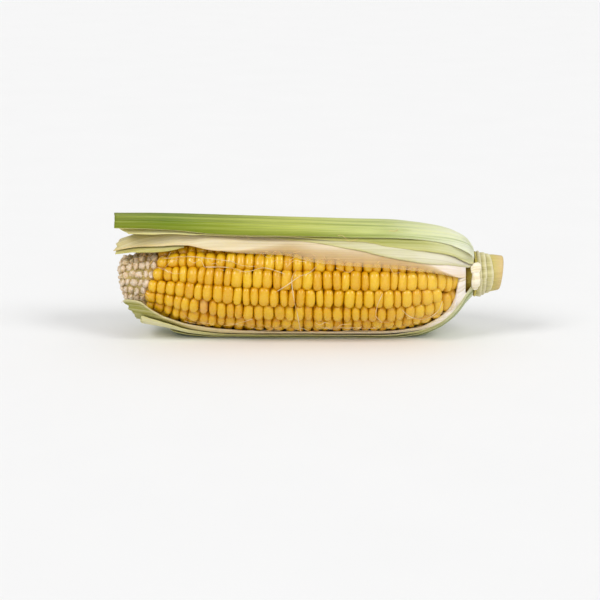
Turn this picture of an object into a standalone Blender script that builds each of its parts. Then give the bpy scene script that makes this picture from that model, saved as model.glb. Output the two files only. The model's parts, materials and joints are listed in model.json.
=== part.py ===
"""An ear of sweet corn, partly husked, lying on its side.

The ear's axis runs along X, from the bare tip at -X to the cut shank at +X. The husk is open towards -Y,
where the kernel rows show. The origin is on the table, under the axis, in the middle of the flat on which
the lowest husk leaf rests. Profiles and outlines are in millimetres and degrees. Angles run round the axis
from the front (0 degrees, -Y) over the top (90 degrees, +Z) to the back (180 degrees, +Y).
"""

import bisect
import math

import bmesh
import bpy

MM = 0.001

# The driving dimensions.
ROWS = 16
FRONT_ROW_ANGLE = 13.0
KERNEL_PITCH = 4.7
KERNEL_NOTCH = 1.2
KERNEL_DOME = 1.1
ROW_GAP = 0.36
CLEARANCE = 0.35
AXIS_HEIGHT = 28.3
LEAF_THICKNESS = 0.5
LAYER_PITCH = 1.9
SHINGLE = 1.0
SILK_RADIUS = 0.22
SILK_LIFT = 0.6

# Stations along the ear.
TIP_END = -94.5
BARE_TIP_END = -79.4
ROW_START = -78.6
ROW_END = 74.6
COB_END = 77.0
LEAF_BASE = 82.0
FRONT_TEAR = 4.2
CUT_END = 95.6

# Height of the centre line above the ear's own axis: it rises where the ear joins its shank.
CENTRE_RISE = ((60, 0.0), (74, 0.7), (79, 2.0), (83, 3.4), (96, 3.9))

# Radii along the ear: the kernels' crowns, the cob under them and the undeveloped kernels of the tip.
CROWN = (
    (-80, 16.8), (-70, 19.4), (-59, 22.4), (-41, 24.7), (-10, 25.6), (35, 25.6), (55, 23.4), (66, 19.6),
    (72, 15.4), (76, 11.4),
)  # fmt: skip
CORE = ((-79, 12.0), (-60, 14.4), (-30, 15.8), (35, 15.8), (60, 13.0), (70, 9.0), (77, 5.6))
BARE_TIP = ((-94.5, 10.2), (-92, 12.2), (-88, 13.7), (-84, 14.7), (-79, 15.4))

# Outer radii of the husk's layers. Each leaf's radius runs from one at its first edge to one at its last.
INNER_SIDE = (
    (-96, 17.4), (-90, 18.2), (-82, 19.6), (-70, 21.8), (-59, 24.4), (-41, 26.3), (-20, 26.8), (35, 26.8),
    (55, 25.0), (66, 21.8), (72, 18.2), (76, 14.8), (79, 11.8), (82, 9.9),
)  # fmt: skip
INNER_TOP = (
    (-96, 17.3), (-90, 20.2), (-83, 22.6), (-72, 24.6), (-60, 26.0), (-45, 26.8), *INNER_SIDE[6:],
)  # fmt: skip
STRIP = (
    (-40, 28.2), (35, 28.2), (55, 26.6), (66, 23.4), (72, 19.8), (76, 16.2), (79, 12.9), (82, 10.8),
)  # fmt: skip
MIDDLE_TOP = (
    (-96, 31.2), (-50, 31.0), (-34, 30.6), (5, 30.0), (26, 29.6), (41, 29.0), (56, 27.8), (66, 25.2),
    (72, 22.4), (77, 17.8), (79.5, 14.4), (82, 11.7),
)  # fmt: skip
OUTER_TOP = (
    (-96, 34.6), (-80, 34.4), (-59, 33.6), (-34, 32.7), (21, 30.9), (41, 30.5), (56, 29.4), (67, 27.6),
    (74, 25.2), (79, 21.0), (82, 15.2),
)  # fmt: skip
LAYER_STEP = ((66, LAYER_PITCH), (82, 0.95))

# The husk stands off the tip: how far along the ear, and what share of that round it.
FLARE = ((-96, 7.0), (-70, 4.0), (-45, 0.6), (-30, 0.0))
FLARE_ROUND = ((60, 0.0), (105, 0.8), (150, 1.0), (190, 0.5), (240, 0.0))

# Edges of the husk's opening and of its leaves: angles along the ear.
INNER_TOP_EDGE = (
    (-96, 66), (-72, 56), (-59, 54), (-50, 48), (-34, 43), (-12, 40), (5, 31), (26, 27), (46, 24.6),
    (62, 21), (72, 16), (76.5, 13), (82, 8),
)  # fmt: skip
INNER_UNDER_EDGE = (
    (-96, 343), (-82, 342), (-76, 328), (-70, 319), (-59, 308), (-41, 300), (-10, 290), (45, 290),
    (55, 294), (62, 302), (67, 310), (72, 323), (75.6, 342), (77.5, 358), (82, 366),
)  # fmt: skip
STRIP_EDGE = (
    (-40, 66), (-10, 59), (5, 54), (17, 48), (26, 44), (46, 34), (62, 31), (77, 34), (82, 34),
)  # fmt: skip
STRIP_BACK_EDGE = ((-40, 69), (-25, 78), (0, 84), (70, 84), (82, 70))
SLIVER_EDGE = ((-96, 61), (-72, 49), (-66, 50))
SLIVER_BACK_EDGE = ((-96, 84), (-66, 76))
MIDDLE_TOP_EDGE = (
    (-96, 60), (-50, 59), (-10, 60), (5, 57), (26, 54), (41, 47), (56, 45), (72, 45), (82, 38),
)  # fmt: skip
MIDDLE_UNDER_EDGE = (
    (-90, 322), (-70, 306), (-50, 290), (45, 286), (55, 288), (62, 292), (68, 302), (76, 324), (82, 344),
)  # fmt: skip
OUTER_TOP_EDGE = (
    (-96, 62), (-66, 61), (-50, 58), (-34, 57), (56, 57), (69, 55), (77, 50), (82, 44),
)  # fmt: skip
OUTER_UNDER_EDGE = ((-70, 280), (45, 281), (62, 285), (70, 295), (76, 313), (82, 331))

# Shank: its radius from the cob to the cut, and the sheath ring round it.
SHANK = (
    (77.6, 5.2), (79.0, 7.4), (81.0, 8.5), (82.3, 8.8), (82.6, 11.4), (83.5, 11.0), (83.8, 9.0),
    (89.6, 9.0), (90.2, 9.2), (93.6, 8.8), (CUT_END, 8.2),
)  # fmt: skip
COLLAR_INNER_RADIUS = 9.5
COLLAR_OUTER_RADIUS = 10.7
COLLAR_START = 85.1
COLLAR_END = 89.3
COLLAR_SLANT = 0.9
CUT_SLANT = 0.09

GREEN = (0.30, 0.45, 0.08)
LIGHT_GREEN = (0.55, 0.65, 0.28)
PALE = (0.82, 0.80, 0.62)
GOLD = (0.87, 0.56, 0.05)
COB_BEIGE = (0.66, 0.55, 0.42)
STEM_GREEN = (0.60, 0.62, 0.30)
SILK_GOLD = (0.85, 0.68, 0.38)


def slopes(points):
    """Slopes at the points, which keep the curve through them from overshooting."""
    steps = [(b[1] - a[1]) / (b[0] - a[0]) for a, b in zip(points, points[1:])]
    inner = [0.0 if a * b <= 0 else 2 * a * b / (a + b) for a, b in zip(steps, steps[1:])]
    return [steps[0], *inner, steps[-1]]


def value_at(points, x):
    """The smooth curve through (x, value) points, level beyond its ends."""
    x = min(max(x, points[0][0]), points[-1][0])
    i = min(max(bisect.bisect_right([p[0] for p in points], x) - 1, 0), len(points) - 2)
    (x0, y0), (x1, y1) = points[i], points[i + 1]
    m0, m1 = slopes(points)[i : i + 2]
    h = x1 - x0
    t = (x - x0) / h
    return (
        (1 + 2 * t) * (1 - t) ** 2 * y0
        + t * (1 - t) ** 2 * h * m0
        + t * t * (3 - 2 * t) * y1
        + t * t * (t - 1) * h * m1
    )


def smooth_step(t):
    return t * t * (3 - 2 * t)


def place(x, angle, radius, lowest=0.0):
    """The point at that station, angle and radius from the centre line, in metres, no lower than lowest."""
    a = math.radians(angle)
    height = AXIS_HEIGHT + value_at(CENTRE_RISE, x) + radius * math.sin(a)
    return (x * MM, -radius * math.cos(a) * MM, max(height, lowest) * MM)


def material(name, colour, roughness):
    found = bpy.data.materials.get(name)
    if found is None:
        found = bpy.data.materials.new(name)
        found.use_nodes = True
        shader = found.node_tree.nodes["Principled BSDF"]
        shader.inputs["Base Color"].default_value = (*colour, 1.0)
        shader.inputs["Roughness"].default_value = roughness
        found.diffuse_color = (*colour, 1.0)
    return found


def add_object(name, bm, finish):
    """Makes the object from its bmesh, with its faces pointing out."""
    bmesh.ops.recalc_face_normals(bm, faces=bm.faces)
    mesh = bpy.data.meshes.new(name)
    bm.to_mesh(mesh)
    bm.free()
    mesh.materials.append(finish)
    mesh.shade_smooth()
    mesh.set_sharp_from_angle(angle=math.radians(40))
    obj = bpy.data.objects.new(name, mesh)
    bpy.context.scene.collection.objects.link(obj)
    return obj


def loft(name, rings, finish, closed=False):
    """A solid skinned over rings of points: capped at both ends, or joined end to start where closed."""
    bm = bmesh.new()
    loops = [[bm.verts.new(p) for p in ring] for ring in rings]
    pairs = list(zip(loops, loops[1:]))
    if closed:
        pairs.append((loops[-1], loops[0]))
    for first, second in pairs:
        for k in range(len(first)):
            n = (k + 1) % len(first)
            bm.faces.new((first[k], first[n], second[n], second[k]))
    if not closed:
        bm.faces.new(loops[0])
        bm.faces.new(loops[-1])
    return add_object(name, bm, finish)


def stations(start, end, count):
    """Places along the ear from start to end, closer together towards the end, where the husk curves in."""
    return [start + (end - start) * (1 - (1 - k / count) ** 1.5) for k in range(count + 1)]


def cob():
    """The cob: bare at its tip, where undeveloped kernels stand as nubs, and plain under the kernels."""
    sides = 2 * ROWS
    nub_height, nub_pitch = 0.55, 1.9
    rings = []
    nub_rings = round((BARE_TIP_END - TIP_END) / nub_pitch)
    for k in range(nub_rings + 1):
        x = TIP_END + (BARE_TIP_END - TIP_END) * k / nub_rings
        radius = value_at(BARE_TIP, x)
        rings.append([
            place(x, 360 * j / sides, radius + (nub_height if (j + k) % 2 else -nub_height))
            for j in range(sides)
        ])
    rings.insert(0, [place(TIP_END - 0.9, 360 * j / sides, 6.5) for j in range(sides)])
    for x in (-79.1, -60, -30, 0, 35, 55, 66, 72, COB_END):
        rings.append([place(x, 360 * j / sides, value_at(CORE, x)) for j in range(sides)])
    loft("cob", rings, material("cob_pith", COB_BEIGE, 0.8))


def row_twist(x):
    """The rows lean a little round the ear towards its tip."""
    return value_at(((-80, 12.5), (-60, 8.0), (-34, 2.5), (-10, 0.0), (30, -1.5), (75, -2.0)), x)


def kernel_row(index):
    """One row of kernels: a wedge between its neighbours, notched where one kernel meets the next."""
    middle = FRONT_ROW_ANGLE + 360 * index / ROWS
    count = round((ROW_END - ROW_START) / KERNEL_PITCH)
    rings = []
    for k in range(2 * count + 1):
        x = ROW_START + (ROW_END - ROW_START) * k / (2 * count)
        notch = 0.0 if k % 2 else KERNEL_NOTCH
        outer = value_at(CROWN, x) - notch
        flank = outer - KERNEL_DOME
        outer_half = 180 / ROWS - math.degrees(ROW_GAP / 2 / flank) - notch
        inner_half = 180 / ROWS - math.degrees(ROW_GAP / 2 / value_at(CORE, x))
        inner = (value_at(CORE, x) + CLEARANCE) / math.cos(math.radians(inner_half))
        angle = middle + row_twist(x)
        rings.append([
            place(x, angle - inner_half, inner),
            place(x, angle - outer_half, flank),
            place(x, angle, outer),
            place(x, angle + outer_half, flank),
            place(x, angle + inner_half, inner),
        ])
    loft(f"kernel_row_{index + 1:02d}", rings, material("kernel", GOLD, 0.35))


def husk_leaf(
    name, edges, radii, tips, finish, lowest=0.0, columns=9, rows=18, base=LEAF_BASE, torn=(0.0, 0.0)
):
    """One husk leaf: a sheet from its cut tip to its base, between two edges, thickened inwards.

    edges and radii each hold the leaf's first and last edge. tips are where those edges end, and torn
    is how much shorter they are at the base, where the leaf is torn off its shank."""
    bm = bmesh.new()
    grid = []
    for j in range(columns + 1):
        t = j / columns
        column = []
        end = base - torn[0] * (1 - t) ** 4 - torn[1] * t**4
        for x in stations(tips[0] + (tips[1] - tips[0]) * t, end, rows):
            first, last = (value_at(edge, x) for edge in edges)
            angle = first + (last - first) * t
            near, far = (radius(x, angle) for radius in radii)
            column.append(bm.verts.new(place(x, angle, near + (far - near) * smooth_step(t), lowest)))
        grid.append(column)
    for left, right in zip(grid, grid[1:]):
        for k in range(rows):
            bm.faces.new((left[k], left[k + 1], right[k + 1], right[k]))
    leaf = add_object(name, bm, finish)
    if leaf.data.polygons[rows // 2].normal.dot(leaf.data.polygons[rows // 2].center) < 0:
        leaf.data.flip_normals()
    wall = leaf.modifiers.new("wall", "SOLIDIFY")
    wall.thickness = LEAF_THICKNESS * MM
    wall.offset = -1.0
    return leaf


def seam(angle, side):
    """A leaf's edge where it laps its neighbour. The lap closes up towards the base."""
    apart, close = angle + 4 * side, angle - 1.5 * side
    return ((-96, apart), (58, apart), (69, close), (82, close))


def layer(number, lap=0.0):
    """The radius of a husk layer, raised by lap where it covers its neighbour's edge."""
    lap_along = ((67, lap), (74, 0.0))
    return lambda x, angle: (
        value_at(INNER_SIDE, x)
        + number * value_at(LAYER_STEP, x)
        + value_at(lap_along, x)
        + value_at(FLARE, x) * value_at(FLARE_ROUND, angle)
    )


def profile(points, raised=0.0):
    return lambda x, angle: value_at(points, x) + raised


def husk():
    """Eight leaves in three layers, with a folded strip and a short sliver between them.

    Under the ear each layer's flat is one wall and one gap above the next, where its weight presses."""
    pale, light, green = (
        material("husk_pale", PALE, 0.6),
        material("husk_light_green", LIGHT_GREEN, 0.55),
        material("husk_green", GREEN, 0.5),
    )
    flat_step = LEAF_THICKNESS + 0.4

    husk_leaf("husk_inner_top", (INNER_TOP_EDGE, seam(166, 1)), (profile(INNER_TOP), layer(0, SHINGLE)),
              (-95.2, -90), pale, 2 * flat_step, columns=10, torn=(FRONT_TEAR, 0))  # fmt: skip
    husk_leaf("husk_inner_under", (seam(166, -1), INNER_UNDER_EDGE), (layer(0), layer(0)),
              (-90, -92), pale, 2 * flat_step, columns=14, torn=(0, FRONT_TEAR))  # fmt: skip
    husk_leaf("husk_strip_front", (STRIP_EDGE, STRIP_BACK_EDGE), (profile(STRIP), profile(STRIP)),
              (-38, -38), pale, columns=4, rows=12)  # fmt: skip
    under_leaf = profile(INNER_TOP, -1.6)
    husk_leaf("husk_sliver_tip", (SLIVER_EDGE, SLIVER_BACK_EDGE), (under_leaf, under_leaf),
              (-94.6, -93), pale, columns=3, rows=6, base=-68)  # fmt: skip

    husk_leaf("husk_middle_top", (MIDDLE_TOP_EDGE, seam(126, 1)), (profile(MIDDLE_TOP), layer(1, SHINGLE)),
              (-86, -94.5), light, columns=7)  # fmt: skip
    husk_leaf("husk_middle_back", (seam(126, -1), seam(234, 1)), (layer(1), layer(1, SHINGLE)),
              (-92, -88), light, flat_step, columns=10)  # fmt: skip
    husk_leaf("husk_middle_under", (seam(234, -1), MIDDLE_UNDER_EDGE), (layer(1), layer(1)),
              (-85, -86), light, flat_step, columns=9)  # fmt: skip

    husk_leaf("husk_outer_top", (OUTER_TOP_EDGE, seam(146, 1)), (profile(OUTER_TOP), layer(2, SHINGLE)),
              (-95.9, -94), green, columns=8)  # fmt: skip
    husk_leaf("husk_outer_back", (seam(146, -1), seam(218, 1)), (layer(2), layer(2, SHINGLE)),
              (-93, -90), green, columns=7)  # fmt: skip
    husk_leaf("husk_outer_under", (seam(218, -1), OUTER_UNDER_EDGE), (layer(2), layer(2)),
              (-82, -66), green, columns=7)  # fmt: skip


def ring(x, radius, slant=0.0, sides=24):
    """A ring of points round the shank. slant leans it, top towards the cut."""
    points = []
    for k in range(sides):
        angle = 360 * k / sides
        points.append(place(x + slant * radius * math.sin(math.radians(angle)), angle, radius))
    return points


def shank():
    """The cut stalk, the sheath ring left round it, and the torn bases of the front leaves."""
    stem = material("shank_green", STEM_GREEN, 0.55)
    rings = [ring(x, radius, CUT_SLANT if x > COLLAR_END else 0.0) for x, radius in SHANK]
    loft("shank", rings, stem)
    slant = COLLAR_SLANT / COLLAR_OUTER_RADIUS
    loft("sheath_collar", [
        ring(COLLAR_START, COLLAR_INNER_RADIUS, -slant),
        ring(COLLAR_START, COLLAR_OUTER_RADIUS - 0.3, -slant),
        ring((COLLAR_START + COLLAR_END) / 2, COLLAR_OUTER_RADIUS),
        ring(COLLAR_END, COLLAR_OUTER_RADIUS - 0.4, slant),
        ring(COLLAR_END, COLLAR_INNER_RADIUS, slant),
    ], stem, closed=True)  # fmt: skip
    pale = material("husk_pale", PALE, 0.6)
    for name, first, last, tip in (("torn_base_front", -28, 14, 82.8), ("torn_base_upper", 19, 38, 82.0)):
        edges = (((70, first), (90, first)), ((70, last), (90, last)))
        radius = profile(((81, 13.6), (84, 12.5), (87, 11.5)))
        husk_leaf(name, edges, (radius, radius), (tip, tip + 0.5), pale, columns=3, rows=3, base=86.6)


def silk(number, route):
    """One silk thread, lying over the kernels' crowns along its route of (station, angle, lift) points."""
    curve = bpy.data.curves.new(f"silk_{number}", "CURVE")
    curve.dimensions = "3D"
    curve.bevel_depth = SILK_RADIUS * MM
    curve.bevel_resolution = 0
    curve.use_fill_caps = True
    spline = curve.splines.new("POLY")
    steps = 3 * (len(route) - 1)
    spline.points.add(steps)
    for k in range(steps + 1):
        x, angle, lift = (value_at(list(enumerate(values)), k / 3) for values in zip(*route))
        spline.points[k].co = (*place(x, angle, value_at(CROWN, x) + SILK_LIFT + lift), 1.0)
    curve.materials.append(material("silk", SILK_GOLD, 0.4))
    obj = bpy.data.objects.new(curve.name, curve)
    bpy.context.scene.collection.objects.link(obj)


def silks():
    """The six longest silks that are left on the kernels."""
    routes = (
        ((-6, 24, 0.3), (-8, 12, 0.2), (-7, -8, 0.2), (-5, -30, 0.2), (-4, -52, 0.3), (-3, -66, 0.5)),
        ((-50, 28, 0.2), (-40, 27, 0.4), (-30, 22, 0.2), (-22, 26, 0.2), (-12, 20, 0.3)),
        ((4, 27, 0.3), (0, 20, 0.4), (-4, 17, 1.1), (-10, 8, 1.0), (-15, 1, 0.2)),
        ((46, -22, 0.2), (51, -34, 0.4), (58, -40, 0.5), (64, -32, 0.5), (66, -18, 0.4)),
        ((-72, 45, 0.3), (-60, 43, 0.3), (-48, 38, 0.2), (-36, 33, 0.2)),
        ((36, -2, 0.3), (34, -14, 0.2), (33, -27, 0.2), (36, -38, 0.3)),
    )
    for number, route in enumerate(routes, start=1):
        silk(number, route)


def clear_scene():
    for obj in list(bpy.data.objects):
        bpy.data.objects.remove(obj)


def main():
    clear_scene()
    cob()
    for index in range(ROWS):
        kernel_row(index)
    husk()
    shank()
    silks()


main()
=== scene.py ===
"""An ear of sweet corn, partly husked, lying on its side: its finished surfaces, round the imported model.

The ear's axis runs along X, from the bare tip at -X to the cut shank at +X. The husk is open towards -Y,
where the kernels show. Profiles and outlines are in millimetres and degrees. Angles run round the axis from
the front (0 degrees, -Y) over the top (90 degrees, +Z) to the back (180 degrees, +Y).
"""

import json
import math

import bpy
import numpy as np
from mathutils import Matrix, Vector

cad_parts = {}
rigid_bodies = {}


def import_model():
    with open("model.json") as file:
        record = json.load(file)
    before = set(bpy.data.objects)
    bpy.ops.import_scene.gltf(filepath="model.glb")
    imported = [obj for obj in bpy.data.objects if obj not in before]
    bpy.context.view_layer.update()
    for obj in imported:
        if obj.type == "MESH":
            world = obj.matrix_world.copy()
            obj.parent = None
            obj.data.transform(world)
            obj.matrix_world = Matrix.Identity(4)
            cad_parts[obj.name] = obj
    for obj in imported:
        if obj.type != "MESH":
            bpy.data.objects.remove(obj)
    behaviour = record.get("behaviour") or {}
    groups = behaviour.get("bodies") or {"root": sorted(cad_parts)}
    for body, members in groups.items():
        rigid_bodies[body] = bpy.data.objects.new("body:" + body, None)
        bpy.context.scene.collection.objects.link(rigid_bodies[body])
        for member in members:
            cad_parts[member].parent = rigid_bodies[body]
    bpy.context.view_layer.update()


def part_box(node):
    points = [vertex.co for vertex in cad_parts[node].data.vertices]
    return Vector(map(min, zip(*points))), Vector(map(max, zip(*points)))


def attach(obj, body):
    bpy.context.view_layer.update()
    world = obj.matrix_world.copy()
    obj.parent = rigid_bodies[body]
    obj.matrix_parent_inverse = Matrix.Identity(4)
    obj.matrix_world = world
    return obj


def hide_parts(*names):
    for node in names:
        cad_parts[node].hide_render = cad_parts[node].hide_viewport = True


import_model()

MM = 0.001
COB_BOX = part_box("cob")
COLLAR_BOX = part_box("sheath_collar")
SHANK_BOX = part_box("shank")

# The frame gives the axis's height above the surface and the ends of the cob, the collar and the shank.
AXIS_HEIGHT = (COB_BOX[0].z + COB_BOX[1].z) / 2 / MM
TIP_END = COB_BOX[0].x / MM
CUT_END = SHANK_BOX[1].x / MM
COLLAR_START, COLLAR_END = COLLAR_BOX[0].x / MM, COLLAR_BOX[1].x / MM

# Kernels: how many rows there are, ripe and unfilled, how far round the first row is, a kernel's size along
# its row and across it, an unfilled one's along its row, and where the ripe kernels begin and end.
ROWS = 16
TIP_ROWS = 20
FRONT_ROW_ANGLE = 13.0
KERNEL_WIDTH = 4.75
ROW_WIDTH = 10.0
BEAD_WIDTH = 3.3
KERNEL_START, KERNEL_END = -77.8, 75.4

# Husk: where the leaves end, how much shorter they are torn in front, their wall, how far apart the layers
# are, how much a leaf is raised where it laps its neighbour, a layer's step where the ear rests, the radius
# that the leaves' veins are laid out on, how far apart their ribs are and their points across, and how far
# in from an edge the margin counts as over.
LEAF_TIP, LEAF_BASE = -96.0, 82.0
FRONT_TEAR = 4.2
LEAF_WALL = 0.36
LAYER_PITCH = 1.9
SHINGLE = 1.0
FLAT_STEP = 0.9
VEIN_RADIUS = 27.0
RIB_SPACING = 1.9
GRID_STEP = 0.45
WELL_INSIDE = 8.0

# Profiles are (station, value) points along the ear. LEVEL is nothing all along it.
LEVEL = ((0, 0.0), (1, 0.0))
CENTRE_RISE = ((60, 0.0), (74, 0.7), (79, 2.0), (83, 3.4), (96, 3.9))
CROWN = (
    (-81, 16.6), (-70, 19.4), (-59, 22.4), (-41, 24.7), (-10, 25.6), (35, 25.6), (55, 23.4), (66, 19.8),
    (72, 16.2), (76, 12.2),
)
CORE = ((-79, 12.0), (-60, 14.4), (-30, 15.8), (35, 15.8), (60, 13.0), (70, 9.0), (77, 5.6))
BARE_TIP = ((-94.5, 10.2), (-92, 12.2), (-88, 13.7), (-84, 14.7), (-79, 15.8), (-74, 16.6))
# What the silks lie on: the bare tip, and then the ripe kernels' crowns. They keep SILK_LIFT above it.
SILK_BED = ((-94.5, 11.4), (-92, 12.6), (-88, 14.1), (-84, 15.1), (-79, 17.2), *CROWN[1:])
SILK_LIFT = 0.6
ROW_TWIST = ((-80, 12.5), (-60, 8.0), (-34, 2.5), (-10, 0.0), (30, -1.5), (75, -2.0))

INNER_SIDE = (
    (-96, 17.4), (-90, 18.2), (-82, 19.6), (-70, 21.8), (-59, 24.4), (-41, 26.3), (-20, 26.8), (35, 26.8),
    (55, 25.0), (66, 21.8), (72, 18.2), (76, 14.8), (79, 11.8), (82, 9.9),
)
INNER_TOP = ((-96, 18.4), (-90, 20.4), (-83, 22.6), (-72, 24.6), (-60, 26.0), (-45, 26.8), *INNER_SIDE[6:])
STRIP = ((-40, 28.2), (35, 28.2), (55, 26.6), (66, 23.4), (72, 19.8), (76, 16.2), (79, 12.9), (82, 10.8))
MIDDLE_TOP = (
    (-96, 31.2), (-50, 31.0), (-34, 30.6), (5, 30.0), (26, 29.6), (41, 29.0), (56, 27.8), (66, 25.2),
    (72, 22.4), (77, 17.8), (79.5, 14.4), (82, 11.7),
)
OUTER_TOP = (
    (-96, 34.6), (-80, 34.4), (-59, 33.6), (-34, 32.7), (21, 30.9), (41, 30.5), (56, 29.4), (67, 27.6),
    (74, 25.2), (79, 21.0), (82, 15.2),
)
LAYER_STEP = ((44, LAYER_PITCH), (62, 1.2), (72, 0.7), (82, 0.5))
FLARE = ((-96, 7.0), (-70, 4.0), (-45, 0.6), (-30, 0.0))
FLARE_ROUND = ((60, 0.0), (105, 0.8), (150, 1.0), (190, 0.5), (240, 0.0))

# The leaves' edges: (station, angle) points.
INNER_TOP_EDGE = (
    (-96, 66), (-72, 56), (-59, 54), (-50, 48), (-34, 43), (-12, 40), (5, 31), (26, 27), (46, 24.6), (62, 21),
    (72, 16), (76.5, 13), (82, 8),
)
INNER_UNDER_EDGE = (
    (-96, 343), (-84, 342), (-77, 327), (-70, 313), (-59, 303), (-41, 297), (-10, 290), (45, 290), (55, 294),
    (62, 302), (67, 310), (71.0, 323), (72.4, 338), (73.2, 354), (73.8, 370), (75.4, 380), (82, 384),
)
STRIP_EDGE = ((-40, 66), (-10, 59), (5, 54), (17, 48), (26, 44), (46, 34), (62, 31), (77, 34), (82, 34))
STRIP_BACK_EDGE = ((-40, 69), (-25, 78), (0, 84), (70, 84), (82, 70))
SLIVER_EDGE = ((-96, 61), (-80, 52), (-70, 50), (-60, 55))
SLIVER_BACK_EDGE = ((-96, 84), (-60, 60))
MIDDLE_TOP_EDGE = (
    (-96, 60), (-50, 59), (-10, 60), (5, 57), (26, 54), (41, 47), (56, 45), (72, 45), (82, 38),
)
MIDDLE_UNDER_EDGE = (
    (-90, 322), (-70, 306), (-50, 290), (45, 286), (55, 288), (62, 292), (68, 302), (76, 324), (82, 344),
)
OUTER_TOP_EDGE = ((-96, 61), (-66, 61), (-50, 58), (-34, 57), (56, 57), (69, 55), (77, 50), (82, 44))
OUTER_UNDER_EDGE = ((-70, 278), (45, 280), (62, 284), (70, 294), (76, 312), (82, 330))
SHANK = (
    (77.6, 5.2), (79.0, 7.4), (81.0, 8.5), (82.3, 8.9), (82.7, 11.2), (83.4, 11.2), (83.9, 9.1), (87.6, 9.2),
    (90.4, 9.2), (93.6, 8.8), (CUT_END - 0.3, 8.3), (CUT_END, 7.8),
)


# Shapes: curves along the ear, noise, grids of points and the meshes over them.


def curve(points):
    """The smooth curve through (x, value) points, held beyond its ends, as a function of a number or an
    array."""
    xs, ys = np.array(points, float).T
    steps = np.diff(ys) / np.diff(xs)
    before, after = steps[:-1], steps[1:]
    rising = before * after > 0
    inner = np.where(rising, 2 * before * after / np.where(rising, before + after, 1), 0)
    slopes = np.concatenate([steps[:1], inner, steps[-1:]])

    def at(x):
        x = np.clip(x, xs[0], xs[-1])
        i = np.clip(np.searchsorted(xs, x, side="right") - 1, 0, len(xs) - 2)
        h = xs[i + 1] - xs[i]
        t = (x - xs[i]) / h
        return (
            (1 + 2 * t) * (1 - t) ** 2 * ys[i]
            + t * (1 - t) ** 2 * h * slopes[i]
            + t * t * (3 - 2 * t) * ys[i + 1]
            + t * t * (t - 1) * h * slopes[i + 1]
        )

    return at


def smooth_step(t):
    return t * t * (3 - 2 * t)


def noise(u, v, seed):
    """Smooth noise from -1 to 1, which turns over about once a unit."""
    size = 97
    lattice = np.random.default_rng(seed).uniform(-1, 1, (size, size))
    u, v = np.broadcast_arrays(np.asarray(u, float), np.asarray(v, float))
    i, j = np.floor(u).astype(int), np.floor(v).astype(int)
    a, b = smooth_step(u - i), smooth_step(v - j)

    def corner(p, q):
        return lattice[p % size, q % size]

    low = corner(i, j) * (1 - a) + corner(i + 1, j) * a
    high = corner(i, j + 1) * (1 - a) + corner(i + 1, j + 1) * a
    return low * (1 - b) + high * b


def place(x, angle, radius, lowest=None):
    """Points at those stations, angles and radii from the centre line, in metres. What would lie lower than
    lowest is pressed flat on it, with a soft bend."""
    a = np.radians(angle)
    z = AXIS_HEIGHT + curve(CENTRE_RISE)(x) + radius * np.sin(a)
    if lowest is not None:
        rounding = 0.5
        z = (z + lowest + np.sqrt((z - lowest) ** 2 + rounding**2)) / 2
    x, y, z = np.broadcast_arrays(x, -radius * np.cos(a), z)
    return np.stack([x, y, z], axis=-1) * MM


def grid_mesh(name, points, coordinates=None, marks=None, sleeve=False, closed=False):
    """A smooth mesh over a grid of points [round][along], with its coordinates as a UV map and its marks as
    attributes. A sleeve joins its last line to its first. A closed one has a face over each end too."""
    index = np.arange(points.shape[0] * points.shape[1]).reshape(points.shape[:2])
    ends = [index[:, 0].tolist(), index[::-1, -1].tolist()] if closed else []
    if sleeve or closed:
        index = np.concatenate([index, index[:1]])
    corners = index[:-1, :-1], index[:-1, 1:], index[1:, 1:], index[1:, :-1]
    faces = np.stack(corners, axis=-1).reshape(-1, 4)
    mesh = bpy.data.meshes.new(name)
    mesh.from_pydata(points.reshape(-1, 3).tolist(), [], faces.tolist() + ends)
    if coordinates is not None:
        uv = coordinates.reshape(-1, 2)[np.concatenate([faces.ravel(), *ends]).astype(int)]
        mesh.uv_layers.new(name="leaf").data.foreach_set("uv", uv.ravel())
    for key, values in (marks or {}).items():
        mesh.attributes.new(key, "FLOAT", "POINT").data.foreach_set("value", values.ravel())
    mesh.shade_smooth()
    return mesh


def add_piece(name, mesh, slot, *nodes, materials=()):
    """Adds a finished piece, which rides with the ear and stands for those nodes. Its slot is not used."""
    obj = bpy.data.objects.new(name, mesh)
    bpy.context.scene.collection.objects.link(obj)
    for finish in materials:
        mesh.materials.append(finish)
    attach(obj, "root")
    if nodes:
        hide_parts(*nodes)
    return obj


# Node trees.


def linear(colour):
    """The linear RGBA of an sRGB hex colour."""
    parts = (int(colour[k : k + 2], 16) / 255 for k in (1, 3, 5))
    return (*(c / 12.92 if c <= 0.04045 else ((c + 0.055) / 1.055) ** 2.4 for c in parts), 1.0)


def join(tree, value, socket):
    """Gives an input what it takes: a value, an sRGB hex colour, another node's output, or a node, whose
    first output in use is meant."""
    if isinstance(value, bpy.types.Node):
        value = next(s for s in value.outputs if s.enabled)
    if isinstance(value, bpy.types.NodeSocket):
        tree.links.new(value, socket)
    else:
        socket.default_value = linear(value) if str(value).startswith("#") else value


def add(tree, kind, given=(), stops=(), **settings):
    """Adds a node with its settings. given holds what its inputs take, in their order or by name, and stops
    a colour ramp's (place, hex colour) stops."""
    made = tree.nodes.new(kind)
    for key, value in settings.items():
        setattr(made, key, value)
    if isinstance(given, dict):
        for key, value in given.items():
            join(tree, value, next(s for s in made.inputs if s.enabled and s.name == key))
    else:
        for socket, value in zip(made.inputs, given):
            join(tree, value, socket)
    for _ in stops[2:]:
        made.color_ramp.elements.new(0.5)
    for k, (where, colour) in enumerate(stops):
        made.color_ramp.elements[k].position = where
        made.color_ramp.elements[k].color = linear(colour)
    return made


def new_material(name):
    """A material, with its node tree."""
    made = bpy.data.materials.new(name)
    made.use_nodes = True
    return made, made.node_tree


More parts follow.
